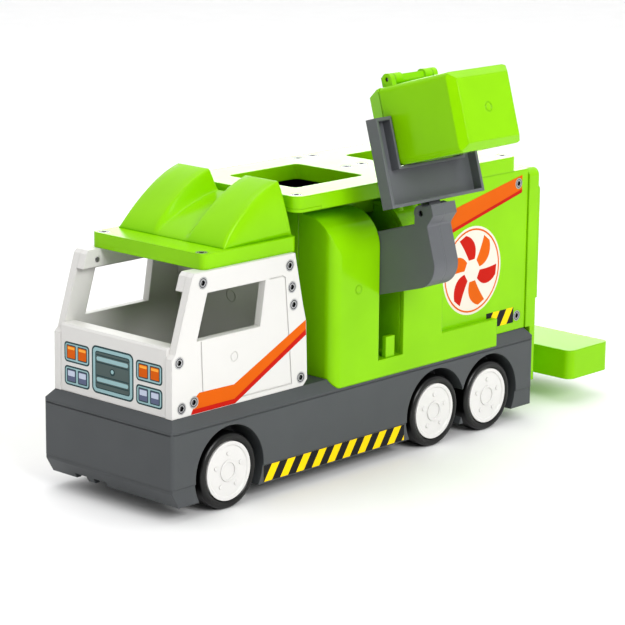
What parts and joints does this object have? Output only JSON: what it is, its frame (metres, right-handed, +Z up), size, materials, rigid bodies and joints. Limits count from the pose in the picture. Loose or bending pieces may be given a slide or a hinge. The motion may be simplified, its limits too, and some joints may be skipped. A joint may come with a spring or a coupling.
{
  "type": "toy refuse truck",
  "caption": "Toy side-loader refuse truck on six wheels, with an open cab, a swinging arm that tips a lidded bin, an open deck over a sorting chute, a tail door and a pull-out rear drawer.",
  "frame": {"origin": "on the ground, under the middle of the whole model's box as stored", "axes": "+X to the rear of the truck, +Y to its right side, +Z up"},
  "size_m": [0.407, 0.1844, 0.2476],
  "materials": {
    "green_plastic": "glossy lime green injection moulding",
    "white_plastic": "satin off-white injection moulding",
    "dark_plastic": "dark grey matt moulding with fine grain",
    "grey_plastic": "mid grey satin moulding",
    "black_plastic": "glossy black moulding",
    "tyre_black": "smooth black hard tyre",
    "hub_white": "glossy white moulding",
    "steel": "zinc-plated steel"
  },
  "bodies": {
    "truck": {"chassis": "dark_plastic", "base_plate": "dark_plastic", "base_screws": "steel", "cab_left_panel": "white_plastic", "cab_right_panel": "white_plastic", "cab_front_panel": "white_plastic", "cab_rear_panel": "white_plastic", "roof_rail_left": "white_plastic", "roof_rail_right": "white_plastic", "cab_roof": "green_plastic", "roof_fairing": "green_plastic", "cab_screws": "steel", "roof_screws": "steel", "body_front_wall": "green_plastic", "body_left_wall": "green_plastic", "body_right_wall": "green_plastic", "lift_housing": "green_plastic", "lift_bay": "green_plastic", "deck": "green_plastic", "deck_screws": "steel", "hopper_liner": "black_plastic", "tail_frame": "green_plastic", "tail_door_pin": "steel", "body_screws": "steel", "arm_pin": "steel"},
    "front_wheels": {"axle_front": "steel", "tyre_front_left": "tyre_black", "tyre_front_right": "tyre_black", "hub_front_left": "hub_white", "hub_front_right": "hub_white"},
    "middle_wheels": {"axle_middle": "steel", "tyre_middle_left": "tyre_black", "tyre_middle_right": "tyre_black", "hub_middle_left": "hub_white", "hub_middle_right": "hub_white"},
    "rear_wheels": {"axle_rear": "steel", "tyre_rear_left": "tyre_black", "tyre_rear_right": "tyre_black", "hub_rear_left": "hub_white", "hub_rear_right": "hub_white"},
    "arm": {"arm_front_half": "grey_plastic", "arm_rear_half": "grey_plastic", "fork_pin": "steel"},
    "fork": {"fork": "grey_plastic"},
    "bin": {"bin_body": "green_plastic", "lid_pin": "steel"},
    "lid": {"bin_lid": "green_plastic"},
    "door": {"tail_door": "green_plastic"},
    "drawer": {"drawer_block": "green_plastic", "drawer_cover": "green_plastic", "drawer_tray": "green_plastic"}
  },
  "joints": [
    {"name": "front_axle_spin", "type": "hinge", "parent": "truck", "child": "front_wheels", "pos_m": [-0.1573, 0.03817, 0.0225], "axis": [0, 1, 0], "continuous": true},
    {"name": "middle_axle_spin", "type": "hinge", "parent": "truck", "child": "middle_wheels", "pos_m": [0.0241, 0.03817, 0.0225], "axis": [0, 1, 0], "continuous": true},
    {"name": "rear_axle_spin", "type": "hinge", "parent": "truck", "child": "rear_wheels", "pos_m": [0.0761, 0.03817, 0.0225], "axis": [0, 1, 0], "continuous": true},
    {"name": "arm_swing", "type": "hinge", "parent": "truck", "child": "arm", "pos_m": [-0.0196, 0.00217, 0.126], "axis": [1, 0, 0], "range_deg": [-30, 57]},
    {"name": "fork_tilt", "type": "hinge", "parent": "arm", "child": "fork", "pos_m": [-0.0196, -0.04642, 0.1597], "axis": [1, 0, 0], "range_deg": [-30, 13]},
    {"name": "bin_lift_out", "type": "slide", "parent": "fork", "child": "bin", "axis": [0, 0.2756, 0.9613], "range_m": [0, 0.03]},
    {"name": "lid_open", "type": "hinge", "parent": "bin", "child": "lid", "pos_m": [-0.0196, -0.02717, 0.23772], "axis": [1, 0, 0], "range_deg": [0, 100]},
    {"name": "tail_door_open", "type": "hinge", "parent": "truck", "child": "door", "pos_m": [0.1297, 0.03817, 0.1476], "axis": [0, -1, 0], "range_deg": [0, 95]},
    {"name": "drawer_push_in", "type": "slide", "parent": "truck", "child": "drawer", "axis": [-1, 0, 0], "range_m": [0, 0.0345]}
  ]
}
